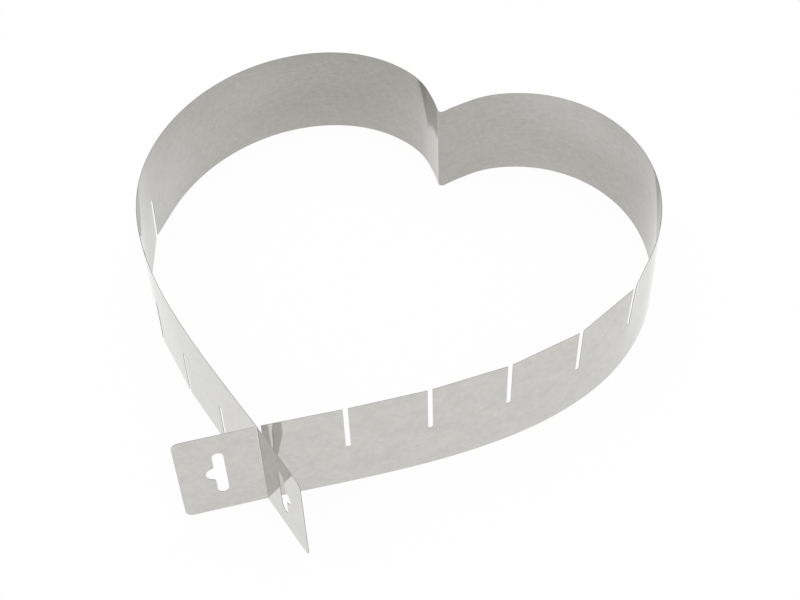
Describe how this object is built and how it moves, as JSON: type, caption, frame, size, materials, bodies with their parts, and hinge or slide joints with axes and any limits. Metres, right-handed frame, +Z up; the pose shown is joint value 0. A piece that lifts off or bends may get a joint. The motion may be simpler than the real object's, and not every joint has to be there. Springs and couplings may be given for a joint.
{
  "type": "adjustable heart cake ring",
  "caption": "Bottomless heart-shaped cake ring of one thin steel band, folded at the cleft, whose two slotted arms hook crosswise at the tip.",
  "frame": {"origin": "middle of the ring's floor outline, on the surface that the band stands on", "axes": "+Z up along the band's height, +Y from the tip towards the cleft, +X to the right seen from the tip"},
  "size_m": [0.3046, 0.3234, 0.06],
  "materials": {
    "stainless": "bright cold-rolled stainless sheet with a faint grain along the band"
  },
  "bodies": {
    "right_lobe": {"right_lobe": "stainless"},
    "right_arm": {"right_arm": "stainless"},
    "cleft_fold": {"cleft_fold": "stainless"},
    "left_lobe": {"left_lobe": "stainless"},
    "left_arm": {"left_arm": "stainless"}
  },
  "joints": [
    {"name": "squeeze", "type": "hinge", "parent": "right_lobe", "child": "cleft_fold", "pos_m": [0.00398, 0.12876, 0.03], "axis": [0, 0, 1], "range_deg": [-8, 8], "stiffness_Nm_per_rad": 0.1},
    {"name": "right_shoulder_flex", "type": "hinge", "parent": "right_lobe", "child": "right_arm", "pos_m": [0.14828, 0.01985, 0.03], "axis": [0, 0, 1], "range_deg": [-7, 7]},
    {"name": "unhook", "type": "slide", "parent": "cleft_fold", "child": "left_lobe", "axis": [0, 0, 1], "range_m": [0, 0.062]},
    {"name": "left_shoulder_flex", "type": "hinge", "parent": "left_lobe", "child": "left_arm", "pos_m": [-0.14828, 0.01985, 0.03], "axis": [0, 0, 1], "range_deg": [-7, 7]}
  ],
  "couplings": [
    {"joint": "right_shoulder_flex", "follows": "squeeze", "ratio": 0.86245},
    {"joint": "left_shoulder_flex", "follows": "squeeze", "ratio": -0.83563}
  ]
}
